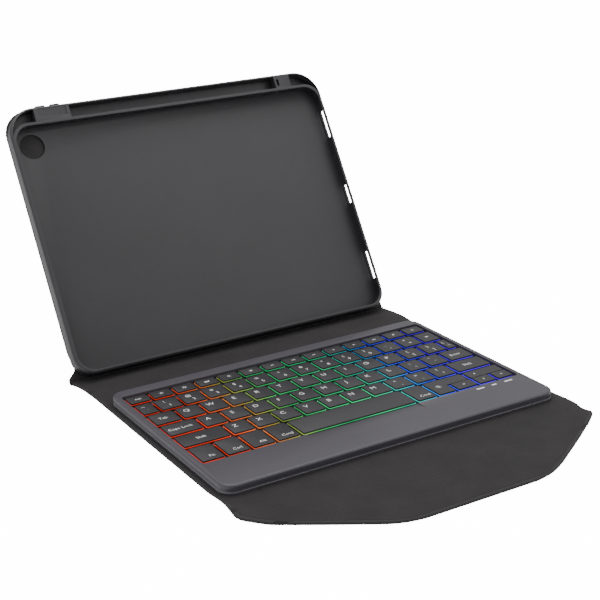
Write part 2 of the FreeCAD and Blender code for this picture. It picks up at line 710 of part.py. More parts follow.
def keys():
    bodies = {}
    for node, left, cell, count, front, depth in key_rows():
        if node not in bodies:
            bodies[node] = make_body(node)
        body = bodies[node]
        x = f"{left} + gap_across / 2"
        skirt = "key_skirt"
        features = cap(
            body,
            rect(x, front, f"{cell} - gap_across", depth, "key_corner"),
            rect(f"{x} + {skirt}", f"{front} + {skirt}", f"{cell} - gap_across - 2 * {skirt}",
                 f"{depth} - 2 * {skirt}"))
        if count > 1:
            pattern = body.newObject("PartDesign::LinearPattern", node + "_pattern")
            pattern.Originals = features
            pattern.Direction = (origin_feature(body, "X_Axis"), [""])
            pattern.setExpression("Length", bound(f"{count - 1} * {cell}"))
            pattern.Occurrences = count
            body.Tip = pattern
            doc.recompute()
    for node, (left, cell, front, depth) in half_row_keys().items():
        body = make_body(node)
        # the light key and the up arrow reach over the half key at their right
        reach = {"backlight_key": "arrow_left_cell", "arrow_up_key": "arrow_right_cell"}.get(node)
        x0 = value(f"{left} + gap_across / 2")
        x1 = value(f"{left} + {cell} - gap_across / 2")
        y0, y1 = value(front), value(f"{front} + {depth}")
        corner = value("key_corner")
        far = value(f"{left} + {cell} + {reach} - gap_across / 2") if reach else x1
        corners = [(x0, y0, corner), (far, y0, corner), (far, y1, corner), (x0, y1, corner)]
        if node == "backlight_key":
            notch = value("bottom_front + bottom_depth - half_depth")
            corners[1:2] = [(x1, y0, corner), (x1, notch, 0.0), (far, notch, corner)]
        hollow = rect(f"{x0} + key_skirt", f"{y0} + key_skirt", f"{x1 - x0} - 2 * key_skirt",
                      f"{y1 - y0} - 2 * key_skirt")
        cap(body, outline(corners), hollow)


def check_and_export():
    doc.recompute()
    for item in doc.Objects:
        if {"Invalid", "Error"} & set(item.State):
            raise RuntimeError(f"{item.Label} failed: {item.State}")
    os.makedirs("parts", exist_ok=True)
    bodies = [item for item in doc.Objects if item.TypeId == "PartDesign::Body"]
    for body in bodies:
        if body.Shape.isNull() or not body.Shape.isValid() or not body.Shape.Solids:
            raise RuntimeError(f"{body.Label} has no valid shape")
    for body in bodies:
        body.Shape.exportStep(f"parts/{body.Label}.step")
    print(len(bodies), "nodes written")


base_panel()
spine_panel()
cover_panel()
strip_panel()
tongue_panel()
flat_crease("rear_fold_leather", "base_length / 2", "base_width")
flat_crease("front_fold_leather", "-base_length / 2", "flap_waist")
tongue_crease()
cover_crease()
tablet_shell()
top_case()
bottom_case()
keyboard_inside()
keys()
check_and_export()
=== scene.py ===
"""Looks of the tablet keyboard case: folio leather, tablet shell, backlit keyboard.

Lengths are in millimetres and are scaled by MM, but depths of relief and the places of the floor,
the lamps and the camera are in metres.
"""
import json
import math

import bmesh
import bpy
import numpy as np
from mathutils import Matrix, Vector

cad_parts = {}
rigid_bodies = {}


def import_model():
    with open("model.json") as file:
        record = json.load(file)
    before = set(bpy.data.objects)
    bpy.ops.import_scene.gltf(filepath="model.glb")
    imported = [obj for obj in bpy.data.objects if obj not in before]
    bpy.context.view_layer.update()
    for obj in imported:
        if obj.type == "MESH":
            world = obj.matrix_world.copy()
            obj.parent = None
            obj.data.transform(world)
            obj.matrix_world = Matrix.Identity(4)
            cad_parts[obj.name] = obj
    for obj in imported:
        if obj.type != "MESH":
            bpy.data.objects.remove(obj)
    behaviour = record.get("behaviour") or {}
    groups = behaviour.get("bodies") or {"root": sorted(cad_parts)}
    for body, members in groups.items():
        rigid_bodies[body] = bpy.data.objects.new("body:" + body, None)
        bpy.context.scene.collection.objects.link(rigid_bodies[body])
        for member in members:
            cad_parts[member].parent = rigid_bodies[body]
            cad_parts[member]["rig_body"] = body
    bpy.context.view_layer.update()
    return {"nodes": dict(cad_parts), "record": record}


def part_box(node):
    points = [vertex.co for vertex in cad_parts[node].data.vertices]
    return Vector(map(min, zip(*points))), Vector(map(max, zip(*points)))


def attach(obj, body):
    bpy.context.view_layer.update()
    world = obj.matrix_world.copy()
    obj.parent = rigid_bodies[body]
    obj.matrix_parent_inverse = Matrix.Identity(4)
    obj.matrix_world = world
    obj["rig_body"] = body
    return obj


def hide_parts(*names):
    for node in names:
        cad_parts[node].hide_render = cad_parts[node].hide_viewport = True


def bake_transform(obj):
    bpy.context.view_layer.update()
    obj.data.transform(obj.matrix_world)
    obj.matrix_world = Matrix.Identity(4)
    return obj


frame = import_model()
nodes = frame["nodes"]
MM = 0.001

# the folio's creases along y, and the cover's own frame, which starts on the last of them
TONGUE_CREASE, FRONT_CREASE, REAR_CREASE, COVER_CREASE = -125.0, -99.0, 99.0, 121.0
HALF_CREASE = 1.6
PANEL_MIDDLE = 1.0
TILT = math.radians(58.6)
COVER = (Matrix.Translation((0, COVER_CREASE * MM, PANEL_MIDDLE * MM))
         @ Matrix.Rotation(TILT, 4, "X"))


# ---------------------------------------------------------------- materials

class Nodes:
    """A material's node tree, with short calls for the nodes that the finishes share."""

    def __init__(self, name):
        self.material = bpy.data.materials.new(name)
        self.material.use_nodes = True
        self.tree = self.material.node_tree
        self.shader = self.tree.nodes["Principled BSDF"]
        self.place = self.add("ShaderNodeTexCoord").outputs["Object"]

    def add(self, kind, **values):
        node = self.tree.nodes.new(kind)
        for key, number in values.items():
            node.inputs[key].default_value = number
        return node

    def link(self, output, target):
        self.tree.links.new(output, target)

    def noise(self, scale, detail=2.0, stretch=(1, 1, 1)):
        mapping = self.add("ShaderNodeMapping", Scale=stretch)
        self.link(self.place, mapping.inputs["Vector"])
        node = self.add("ShaderNodeTexNoise", Scale=scale, Detail=detail)
        self.link(mapping.outputs["Vector"], node.inputs["Vector"])
        return node.outputs["Fac"]

    def cells(self, scale):
        node = self.add("ShaderNodeTexVoronoi", Scale=scale)
        node.feature = "F1"
        self.link(self.place, node.inputs["Vector"])
        return node.outputs["Distance"]

    def spread(self, factor, low, high, dark, light):
        """Maps a pattern from low..high to a range of numbers."""
        node = self.add("ShaderNodeMapRange")
        node.inputs["From Min"].default_value = low
        node.inputs["From Max"].default_value = high
        node.inputs["To Min"].default_value = dark
        node.inputs["To Max"].default_value = light
        self.link(factor, node.inputs["Value"])
        return node.outputs["Result"]

    def colours(self, factor, stops):
        ramp = self.add("ShaderNodeValToRGB")
        elements = ramp.color_ramp.elements
        while len(elements) < len(stops):
            elements.new(0.5)
        for element, (where, colour) in zip(elements, stops):
            element.position = where
            element.color = (*colour, 1.0)
        self.link(factor, ramp.inputs["Fac"])
        return ramp.outputs["Color"]

    def bump(self, height, depth, strength=1.0):
        """Adds a relief on top of those that the shader already has."""
        previous = self.shader.inputs["Normal"]
        node = self.add("ShaderNodeBump", Strength=strength, Distance=depth)
        if previous.is_linked:
            self.link(previous.links[0].from_socket, node.inputs["Normal"])
        self.link(height, node.inputs["Height"])
        self.link(node.outputs["Normal"], previous)


def finish(name, colour, rough, grain, depth, mottle=0.1, mottle_scale=30.0, metallic=0.0,
           sheen=0.0, specular=0.5, rough_spread=0.08, extra=None):
    """A finish with a fine grain in its bump, a soft mottle in its colour and uneven gloss.

    grain and mottle_scale are how fine the patterns are, and depth is the grain's, in metres.
    """
    made = Nodes(name)
    shader = made.shader
    shader.inputs["Metallic"].default_value = metallic
    shader.inputs["Sheen Weight"].default_value = sheen
    shader.inputs["Sheen Roughness"].default_value = 0.5
    shader.inputs["Specular IOR Level"].default_value = specular
    patches = made.noise(mottle_scale, 4.0)
    dark = tuple(c * (1 - mottle) for c in colour)
    light = tuple(c * (1 + mottle) for c in colour)
    made.link(made.colours(patches, [(0.3, dark), (0.7, light)]), shader.inputs["Base Color"])
    fine = made.noise(grain, 2.0)
    made.link(made.spread(fine, 0.3, 0.7, rough - rough_spread, rough + rough_spread),
              shader.inputs["Roughness"])
    made.bump(fine, depth)
    if extra:
        extra(made)
    return made.material


def leather_detail(made):
    """Pebbled grain, and faint creases that run across the folio."""
    made.bump(made.cells(1500.0), 0.00008, 0.7)
    made.bump(made.noise(22.0, 3.0, (0.35, 3.0, 1.0)), 0.0006, 0.6)


def nap_detail(made):
    """The brushed nap of the lining: short fibres, and soft bands where it was stroked."""
    made.bump(made.noise(900.0, 2.0, (0.35, 1.6, 1.0)), 0.00012, 0.8)
    made.bump(made.noise(16.0, 3.0, (0.3, 2.6, 1.0)), 0.0007, 0.5)


def brushed_detail(made):
    """Long fine scratches."""
    made.bump(made.noise(700.0, 2.0, (0.05, 1.0, 1.0)), 0.00003)


def pebble_detail(made):
    """The fine spark-eroded texture of a soft-touch moulding."""
    made.bump(made.cells(900.0), 0.00005, 0.5)


RED, SCARLET = (0.8, 0.02, 0.01), (0.85, 0.05, 0.01)
ORANGE, LIME = (0.8, 0.2, 0.05), (0.4, 0.5, 0.08)
GREEN, JADE, TEAL = (0.05, 0.6, 0.16), (0.03, 0.6, 0.24), (0.03, 0.42, 0.5)
BLUE, INDIGO, VIOLET = (0.03, 0.06, 0.9), (0.07, 0.005, 0.85), (0.09, 0.005, 0.8)
RAINBOW = [(0.0, RED), (0.15, SCARLET), (0.24, ORANGE), (0.30, LIME), (0.37, GREEN), (0.60, JADE),
           (0.69, TEAL), (0.76, BLUE), (0.88, INDIGO), (1.0, VIOLET)]
KEYS_HALF_WIDTH = 0.122


def rainbow(made, dimmest, brightest):
    """Light that changes colour along the keyboard, in patches, and fades towards the back."""
    split = made.add("ShaderNodeSeparateXYZ")
    made.link(made.place, split.inputs["Vector"])
    along = made.spread(split.outputs["X"], -KEYS_HALF_WIDTH, KEYS_HALF_WIDTH, 0.0, 1.0)
    colour = made.colours(along, RAINBOW)
    made.link(colour, made.shader.inputs["Emission Color"])
    made.link(colour, made.shader.inputs["Base Color"])
    patches = made.spread(made.noise(28.0, 2.0), 0.3, 0.7, dimmest, brightest)
    fade = made.spread(split.outputs["Y"], -0.03, 0.055, 1.35, 0.4)
    product = made.add("ShaderNodeMath")
    product.operation = "MULTIPLY"
    made.link(patches, product.inputs[0])
    made.link(fade, product.inputs[1])
    made.link(product.outputs["Value"], made.shader.inputs["Emission Strength"])


def legend_glow(made):
    """The faint light that comes through a printed legend."""
    made.shader.inputs["Emission Color"].default_value = (1, 1, 1, 1)
    made.shader.inputs["Emission Strength"].default_value = 0.15


FINISHES = {
    "folio_leather": finish(
        "charcoal_leather", (0.021, 0.019, 0.0195), 0.66, grain=900.0, depth=0.00006,
        mottle=0.12, mottle_scale=60.0, sheen=0.02, specular=0.25, extra=leather_detail),
    "folio_lining": finish(
        "charcoal_lining", (0.021, 0.019, 0.0197), 0.78, grain=1400.0, depth=0.00008,
        mottle=0.14, mottle_scale=45.0, sheen=0.03, specular=0.2, extra=nap_detail),
    "stiff_board": finish(
        "grey_board", (0.15, 0.14, 0.13), 0.85, grain=1200.0, depth=0.00005, mottle=0.15),
    "shell_plastic": finish(
        "slate_shell", (0.026, 0.0245, 0.028), 0.44, grain=2600.0, depth=0.00003,
        mottle=0.05, mottle_scale=20.0, rough_spread=0.05, extra=pebble_detail),
    "shell_back_plastic": finish(
        "dark_shell_back", (0.026, 0.025, 0.028), 0.55, grain=2200.0, depth=0.00004,
        mottle=0.06, mottle_scale=18.0),
    "keyboard_housing": finish(
        "slate_housing", (0.050, 0.046, 0.056), 0.42, grain=3000.0, depth=0.00002,
        mottle=0.04, mottle_scale=25.0, rough_spread=0.04),
    "keycap": finish(
        "dark_keycap", (0.016, 0.015, 0.018), 0.48, grain=3200.0, depth=0.00002,
        mottle=0.06, mottle_scale=80.0, rough_spread=0.05),
    "steel": finish(
        "brushed_steel", (0.55, 0.55, 0.56), 0.32, grain=1500.0, depth=0.00002,
        mottle=0.05, metallic=1.0, extra=brushed_detail),
    "magnet": finish(
        "plated_magnet", (0.45, 0.45, 0.47), 0.28, grain=1800.0, depth=0.00002,
        mottle=0.05, metallic=1.0),
    "rubber": finish(
        "dome_rubber", (0.35, 0.36, 0.36), 0.7, grain=1600.0, depth=0.00003, mottle=0.08),
    "link_plastic": finish(
        "link_plastic", (0.5, 0.5, 0.48), 0.5, grain=1600.0, depth=0.00002, mottle=0.05),
    "board_green": finish(
        "circuit_green", (0.02, 0.09, 0.04), 0.4, grain=1400.0, depth=0.00002,
        mottle=0.2, mottle_scale=300.0),
    "battery_foil": finish(
        "battery_foil", (0.38, 0.38, 0.36), 0.4, grain=500.0, depth=0.00005,
        mottle=0.08, metallic=0.8),
    "indicator": finish(
        "indicator_window", (0.8, 0.8, 0.82), 0.3, grain=1500.0, depth=0.00001, mottle=0.05),
    "guide": finish(
        "glowing_guide", (0.3, 0.3, 0.3), 0.4, grain=1500.0, depth=0.00001,
        extra=lambda made: rainbow(made, 0.12, 0.95)),
    "lamp": finish(
        "lamp_body", (0.6, 0.6, 0.5), 0.4, grain=1500.0, depth=0.00001,
        extra=lambda made: rainbow(made, 2.0, 4.0)),
}
LEGEND = finish("legend_print", (0.8, 0.8, 0.8), 0.5, grain=2400.0, depth=0.00001,
                mottle_scale=200.0, extra=legend_glow)
# light grey for the seam bead: a painted highlight along the lip where the housing's mouldings
# meet
SEAM_HIGHLIGHT = finish("seam_bead_painted_highlight", (0.19, 0.185, 0.19), 0.3, grain=2400.0, depth=0.00001,
              mottle_scale=200.0)
# near-black for a band round each cap's wall: painted shade, since the caps' walls are the caps'
# own colour
CAP_SHADE = finish("cap_wall_painted_shade", (0.012, 0.012, 0.014), 0.6, grain=2400.0, depth=0.00001,
                   mottle_scale=200.0)

slot_of = {part["node"]: part["material_slot"] for part in frame["record"]["subparts"]}
for node_name, node in nodes.items():
    for place in range(len(node.data.materials)):
        node.data.materials[place] = FINISHES[slot_of[node_name]]


# ---------------------------------------------------------------- pieces

def new_object(name, bm, material):
    """Makes a smooth-shaded object of bm, and frees bm."""
    mesh = bpy.data.meshes.new(name)
    bm.normal_update()
    bm.to_mesh(mesh)
    bm.free()
    mesh.materials.append(material)
    mesh.polygons.foreach_set("use_smooth", [True] * len(mesh.polygons))
    piece = bpy.data.objects.new(name, mesh)
    bpy.context.scene.collection.objects.link(piece)
    return piece


def cad_mesh(node_name):
    """A CAD node's mesh to work on, with its facets joined."""
    bm = bmesh.new()
    bm.from_mesh(nodes[node_name].data)
    bmesh.ops.remove_doubles(bm, verts=bm.verts, dist=1e-6)
    return bm


def copied(node_name, name, width, segments=3, angle=28.0):
    """A piece with the node's shape, its facets merged and its edges softened."""
    bm = cad_mesh(node_name)
    bmesh.ops.dissolve_limit(bm, angle_limit=math.radians(0.6), verts=bm.verts, edges=bm.edges)
    slot = slot_of[node_name]
    piece = new_object(name, bm, FINISHES[slot])
    soften = piece.modifiers.new("soften", "BEVEL")
    soften.width = width * MM
    soften.segments = segments
    soften.limit_method = "ANGLE"
    soften.angle_limit = math.radians(angle)
    soften.use_clamp_overlap = True
    soften.harden_normals = True
    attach(piece, nodes[node_name]["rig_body"])
    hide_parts(node_name)


def band(bm, before, after):
    """Skins the gap between two equal closed rings of vertices."""
    count = len(before)
    for k in range(count):
        bm.faces.new((before[k], before[(k + 1) % count], after[(k + 1) % count], after[k]))


def tube(bm, rings):
    """Skins a row of equal rings, and closes both ends."""
    for before, after in zip(rings, rings[1:]):
        band(bm, before, after)
    bm.faces.new(list(reversed(rings[0])))
    bm.faces.new(rings[-1])
    bmesh.ops.recalc_face_normals(bm, faces=bm.faces)


# ---------------------------------------------------------------- folio

LEAF_COLUMNS = 56
RIM_ANGLES = (0.4, 0.8, 1.2, math.pi / 2, 1.95, 2.35, 2.75, math.pi)


def leaf(name, body, rows, left, right, low, high, slot, bulge, replaced, place=None):
    """A flat panel of leather or lining: a grid between two side outlines, with a turned rim.

    rows are its y lines from back to front, and left and right give its sides at a y. The rim
    bulges out past them. place moves the panel out of its own frame.
    """
    bm = bmesh.new()
    shares = [0.5 - 0.5 * math.cos(math.pi * k / LEAF_COLUMNS) for k in range(LEAF_COLUMNS + 1)]
    grid = []
    for y in rows:
        x0, x1 = left(y), right(y)
        grid.append([bm.verts.new((x0 + (x1 - x0) * share, y, high)) for share in shares])
    for upper, lower in zip(grid, grid[1:]):
        for k in range(LEAF_COLUMNS):
            bm.faces.new((lower[k], lower[k + 1], upper[k + 1], upper[k]))
    ring = [line[0] for line in grid] + grid[-1][1:-1] + [line[-1] for line in reversed(grid)]
    ring += list(reversed(grid[0][1:-1]))
    outward = []
    for k in range(len(ring)):
        step = ring[(k + 1) % len(ring)].co - ring[k - 1].co
        outward.append(Vector((step.y, -step.x, 0)).normalized())
    middle, half = (low + high) / 2, (high - low) / 2
    previous = ring
    for angle in RIM_ANGLES:
        out, z = bulge * math.sin(angle), middle + half * math.cos(angle)
        current = [bm.verts.new((v.co.x + n.x * out, v.co.y + n.y * out, z))
                   for v, n in zip(ring, outward)]
        band(bm, previous, current)
        previous = current
    bm.faces.new(list(reversed(previous)))
    bmesh.ops.recalc_face_normals(bm, faces=bm.faces)
    bm.transform((place or Matrix.Identity(4)) @ Matrix.Scale(MM, 4))
    piece = new_object(name, bm, FINISHES[slot])
    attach(piece, body)
    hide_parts(*replaced)


def smooth_line(points, step=0.25, blur=1.3, reach=16):
    """A function through (y, x) points given in order of falling y: a softly blurred polyline."""
    ys = np.array([y for y, x in reversed(points)], float)
    xs = np.array([x for y, x in reversed(points)], float)
    fine = np.arange(ys[0], ys[-1] + step, step)
    weights = np.exp(-0.5 * (np.arange(-reach, reach + 1) * step / blur) ** 2)
    padded = np.pad(np.interp(fine, ys, xs), reach, mode="reflect", reflect_type="odd")
    smooth = np.convolve(padded, weights / weights.sum(), "valid")
    return lambda y: float(np.interp(y, fine, smooth))


# the two sides of the leather as it lies, a little wavy, from the cover's crease to the tongue
LEFT_SIDE = smooth_line([
    (122, -130.0), (119, -129.0), (114, -127.3), (106, -126.1), (99, -125.7), (90, -125.3),
    (-70, -124.9), (-84, -123.6), (-91, -123.9), (-98, -125.0), (-104, -125.9), (-108.5, -125.0),
    (-112.5, -122.2), (-122.3, -113.9), (-140.1, -86.8), (-155.4, -62.8), (-158.9, -56.6),
    (-161.4, -50.0), (-162.8, -43.0), (-163.3, -36.0)])
RIGHT_SIDE = smooth_line([
    (122, 128.2), (119, 128.4), (114, 129.2), (110, 129.8), (104, 130.4), (96, 130.4),
    (88, 129.6), (78, 128.0), (64, 126.8), (40, 126.2), (-50, 126.2), (-75, 127.4), (-90, 128.6),
    (-94.5, 128.5), (-98.5, 127.6), (-102.5, 126.5), (-106.0, 126.3), (-108.4, 127.2),
    (-110.0, 128.6), (-111.2, 128.4), (-113.6, 126.2), (-120.9, 116.6), (-136.5, 93.0),
    (-153.9, 65.6), (-158.6, 56.6), (-161.3, 49.4), (-162.8, 42.5), (-163.3, 36.0)])
TONGUE_END, OUTLINE_END = -163.2, -163.3
SPANS = {"base": (REAR_CREASE - HALF_CREASE, FRONT_CREASE + HALF_CREASE),
         "spine": (COVER_CREASE - HALF_CREASE, REAR_CREASE + HALF_CREASE),
         "strip": (FRONT_CREASE - HALF_CREASE, TONGUE_CREASE + HALF_CREASE),
         "tongue": (TONGUE_CREASE - HALF_CREASE, TONGUE_END)}
RIM = 0.4
NEAR_EDGE = (0.0, 0.4, 1.0, 2.0)
FINE_ROWS, COARSE_ROWS = 1.6, 3.2
LINING_INSET, LINING_GAP = 2.6, 0.15
# along the slanting sides of the flap, which start here, the lining keeps the same margin
SLANT_START, SLANT_DROP, SLANT_FACTOR = -106, 0.6, 1.28


def spaced(back, front, step):
    """Rows from back to front, closer together near both ends."""
    inner = np.arange(back - NEAR_EDGE[-1] - step, front + NEAR_EDGE[-1] + step / 2, -step)
    return [back - d for d in NEAR_EDGE] + list(inner) + [front + d for d in reversed(NEAR_EDGE)]


def lining_side(side, inward):
    """The leather's side moved inwards, where inward is 1 to the right and -1 to the left."""
    def place(y):
        if y < SLANT_START:
            lower = max(y - SLANT_DROP, OUTLINE_END)
            return side(lower) + inward * LINING_INSET * SLANT_FACTOR
        return side(y) + inward * LINING_INSET
    return place


def folio_leaves():
    """The leather skin and the lining of each flat panel."""
    for body, (back, front) in SPANS.items():
        rows = spaced(back - RIM, front + RIM, COARSE_ROWS if body == "base" else FINE_ROWS)
        leaf(f"{body}_skin", body, rows, lambda y: LEFT_SIDE(y) + RIM,
             lambda y: RIGHT_SIDE(y) - RIM, 0.0, 1.86, "folio_leather", 0.42,
             [f"{body}_leather", f"{body}_board"])
        margin = LINING_INSET if body == "tongue" else LINING_GAP
        rows = spaced(back - LINING_GAP, front + margin, FINE_ROWS)
        leaf(f"{body}_lining_face", body, rows, lining_side(LEFT_SIDE, 1),
             lining_side(RIGHT_SIDE, -1), 1.3, 2.0, "folio_lining", 0.2, [f"{body}_lining"])


def crease(name, centre, replaced):
    """A strip of leather across a crease, dipped along its middle, that laps over both panels."""
    half, lap, columns = HALF_CREASE, HALF_CREASE + 0.5, 48
    side_gap = 0.3
    top = [(-lap, 1.98), (-lap + 0.15, 2.03), (-half * 0.7, 2.02), (-half * 0.35, 1.93)]
    bottom = [(half, 0.10), (half * 0.5, 0.05)]
    section = top + [(0.0, 1.86)] + [(-across, z) for across, z in reversed(top)]
    section += bottom + [(0.0, 0.02)] + [(-across, z) for across, z in reversed(bottom)]
    bm = bmesh.new()
    rings = []
    for k in range(columns + 1):
        ring = []
        for across, z in section:
            y = centre + across
            left, right = LEFT_SIDE(y) + side_gap, RIGHT_SIDE(y) - side_gap
            ring.append(bm.verts.new((left + (right - left) * k / columns, y, z)))
        rings.append(ring)
    tube(bm, rings)
    bm.transform(Matrix.Scale(MM, 4))
    piece = new_object(name, bm, FINISHES["folio_lining"])
    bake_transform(piece)
    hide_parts(replaced)


def cover_crease():
    """The leather that bends from the spine up into the cover."""
    half, steps, columns = HALF_CREASE, 8, 40
    left, right = -129.8, 127.9
    inner, outer = [], []
    for k in range(steps + 1):
        share = k / steps
        turn = TILT * share * share * (3 - 2 * share)
        across = (share - 0.5) * 2 * half
        climb = TILT * 0.98 if across > 0 else 0.0
        middle = Vector((0, COVER_CREASE + across * math.cos(climb),
                         PANEL_MIDDLE + across * math.sin(climb)))
        normal = Vector((0, -math.sin(turn), math.cos(turn)))
        inner.append(middle + normal * (0.85 - 0.35 * math.sin(math.pi * share)))
        outer.append(middle - normal * 0.92)
    for point in outer:
        point.z = max(point.z, 0.03)
    section = inner + outer[::-1]
    bm = bmesh.new()
    rings = []
    for k in range(columns + 1):
        x = left + k / columns * (right - left)
        rings.append([bm.verts.new((x, p.y, p.z)) for p in section])
    tube(bm, rings)
    bm.transform(Matrix.Scale(MM, 4))
    piece = new_object("cover_crease", bm, FINISHES["folio_leather"])
    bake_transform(piece)
    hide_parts("cover_fold_leather")


def cover_skin():
    """The cover's outer leather, with round far corners and a hem that flares at the crease."""
    corner, top, side = 18.0, 196.0 - RIM, 126.0 - RIM
    left_flare = smooth_line([(24, 0.0), (20, 0.0), (16, -0.7), (12, -2.0), (9, -2.2),
                              (6.5, -0.7), (4.5, 2.2), (2.5, 4.6), (0, 4.2)])

    def half(v):
        past = max(v - top + corner, 0.0)
        return side - corner + math.sqrt(max(corner * corner - past * past, 0.0))

    def right_flare(v):
        return 0.9 * min(1.0, max(0.0, 1 - (v - 4.0) / 12.0)) ** 2

    below_top = [0.0, 0.15, 0.4, 0.8, 1.4, 2.2, 3.2, 4.4, 5.8, 7.4, 9.2, 11.2, 13.4, 15.8, 18.4]
    rows = [top - d for d in below_top] + list(np.arange(174.0, 21.0, -4.0))
    rows += list(np.arange(20.0, 2.4, -1.0)) + [HALF_CREASE + RIM]
    leaf("cover_skin", "cover", rows, lambda v: -half(v) - left_flare(v),
         lambda v: half(v) + right_flare(v), -1.0, 0.96, "folio_leather", 0.42,
         ["cover_leather", "cover_board"], COVER)


# ---------------------------------------------------------------- legends

# in metres: how far the print is sunk into a cap, half the thickness of letters, how much their
# strokes are thinned, and the thickness of the plain marks
PRINT_SINK, LETTER_HALF, LETTER_THINNING, MARK_HEIGHT = 0.00001, 0.00001, 0.00004, 0.00002
ARROW = [(0.9, 0.0), (0.0, 0.75), (0.0, 0.28), (-0.9, 0.28), (-0.9, -0.28), (0.0, -0.28),
         (0.0, -0.75)]
TRIANGLE = [(0.8, 0.0), (-0.5, 0.8), (-0.5, -0.8)]


def glyph(bm, text, x, y, size, top):
    """Adds flat raised lettering to bm, centred at a point on a key's top."""
    curve = bpy.data.curves.new("glyph", "FONT")
    curve.body = text
    curve.size = size * MM
    curve.align_x = "CENTER"
    curve.align_y = "CENTER"
    curve.resolution_u = 4
    curve.extrude = LETTER_HALF
    curve.offset = -LETTER_THINNING
    letter = bpy.data.objects.new("glyph", curve)
    bpy.context.scene.collection.objects.link(letter)
    bpy.context.view_layer.update()
    shape = bpy.data.meshes.new_from_object(
        letter.evaluated_get(bpy.context.evaluated_depsgraph_get()))
    shape.transform(Matrix.Translation((x, y, top + LETTER_HALF)))
    bm.from_mesh(shape)
    bpy.data.meshes.remove(shape)
    bpy.data.objects.remove(letter)
    bpy.data.curves.remove(curve)


def polygon(bm, points, top):
    """Adds a thin flat mark with these corners."""
    high = [bm.verts.new((x, y, top + MARK_HEIGHT)) for x, y in points]
    low = [bm.verts.new((x, y, top)) for x, y in points]
    bm.faces.new(high)
    bm.faces.new(list(reversed(low)))
    band(bm, low, high)


def arrow(bm, x, y, size, turn, top, stem=True):
    """A plain arrow, or without its stem a triangle, that points along the angle turn."""
    c, s = math.cos(turn), math.sin(turn)
    polygon(bm, [(x + (a * c - b * s) * size * MM, y + (a * s + b * c) * size * MM)
                 for a, b in (ARROW if stem else TRIANGLE)], top)


def ring_mark(bm, x, y, radius, width, top, turn_from=0.0, turn_to=2 * math.pi):
    """A ring, or part of one between two angles."""
    steps = 16
    angles = [turn_from + (turn_to - turn_from) * k / steps for k in range(steps + 1)]
    for a, b in zip(angles, angles[1:]):
        corners = [(x + r * MM * math.cos(t), y + r * MM * math.sin(t))
                   for r, t in ((radius, a), (radius, b), (radius - width, b),
                                (radius - width, a))]
        polygon(bm, corners[::-1], top)


def bar(bm, x, y, width, height, top):
    """A rectangle round a point."""
    w, h = width * MM / 2, height * MM / 2
    polygon(bm, [(x - w, y - h), (x + w, y - h), (x + w, y + h), (x - w, y + h)], top)


def sun(bm, x, y, radius, width, reach, ray, top):
    """A ring with eight square rays."""
    ring_mark(bm, x, y, radius, width, top)
    for k in range(8):
        a = k * math.pi / 4
        bar(bm, x + reach * MM * math.cos(a), y + reach * MM * math.sin(a), ray, ray, top)


def function_mark(bm, number, x, y, top):
    """A top-row key's plain mark: brightness, search, media, volume, lock or power."""
    if number == 0:
        glyph(bm, "esc", x, y, 3.4, top)
    elif number in (1, 2):
        sun(bm, x, y, 0.55 + 0.25 * number, 0.35, 1.35 + 0.2 * number, 0.3, top)
    elif number == 3:
        for k in range(3):
            bar(bm, x + (k - 1) * 1.3 * MM, y, 0.9, 1.6, top)
    elif number == 4:
        ring_mark(bm, x - 0.2 * MM, y + 0.2 * MM, 0.95, 0.3, top)
        arrow(bm, x + 0.9 * MM, y - 0.9 * MM, 0.35, -math.pi / 4, top)
    elif number == 5:
        for shift in (0, 0.7, -0.7):
            bar(bm, x, y + shift * MM, 2.2, 0.35, top)
    elif number in (6, 8):
        turn = math.pi if number == 6 else 0.0
        for shift in (-0.6, 0.6):
            arrow(bm, x + shift * MM, y, 0.8, turn, top, stem=False)
    elif number == 7:
        arrow(bm, x - 0.6 * MM, y, 0.8, 0.0, top, stem=False)
        for shift in (0.7, 1.3):
            bar(bm, x + shift * MM, y, 0.35, 1.4, top)
    elif number in (9, 10, 11):
        bar(bm, x - 0.9 * MM, y, 0.6, 0.8, top)
        arrow(bm, x - 0.4 * MM, y, 0.8, math.pi, top, stem=False)
        for k in range(number - 9):
            ring_mark(bm, x - 0.1 * MM, y, 0.9 + 0.6 * k, 0.25, top, -0.8, 0.8)
    elif number == 12:
        bar(bm, x, y - 0.3 * MM, 1.5, 1.1, top)
        ring_mark(bm, x, y + 0.3 * MM, 0.6, 0.22, top, 0.0, math.pi)
    else:
        ring_mark(bm, x, y, 1.0, 0.28, top, math.pi * 0.7, math.pi * 2.3)
        bar(bm, x, y + 0.7 * MM, 0.28, 1.1, top)


# what each key says, from left to right: a pair is the upper and the lower sign of one cap
LEGENDS = {
    "number_keys": [("~", "`"), ("!", "1"), ("@", "2"), ("#", "3"), ("$", "4"), ("%", "5"),
                    ("^", "6"), ("&", "7"), ("*", "8"), ("(", "9"), (")", "0"), ("_", "-"),
                    ("+", "=")],
    "upper_letter_keys": list("QWERTYUIOP") + [("{", "["), ("}", "]")],
    "home_letter_keys": list("ASDFGHJKL") + [(":", ";"), ("\"", "'")],
    "lower_letter_keys": list("ZXCVBNM") + [("<", ","), (">", "."), ("?", "/")],
    "modifier_keys": ["Fn", "Ctrl", "Alt", "Cmd", "Cmd"],
    "tab_key": ["Tab"], "caps_key": ["Caps Lock"], "enter_key": ["Enter"],
    "shift_left_key": ["Shift"], "shift_right_key": ["Shift"], "backslash_key": [("|", "\\")]}
ARROW_TURNS = {"arrow_left_key": math.pi, "arrow_right_key": 0.0, "arrow_up_key": math.pi / 2,
               "arrow_down_key": -math.pi / 2, "backspace_key": math.pi}


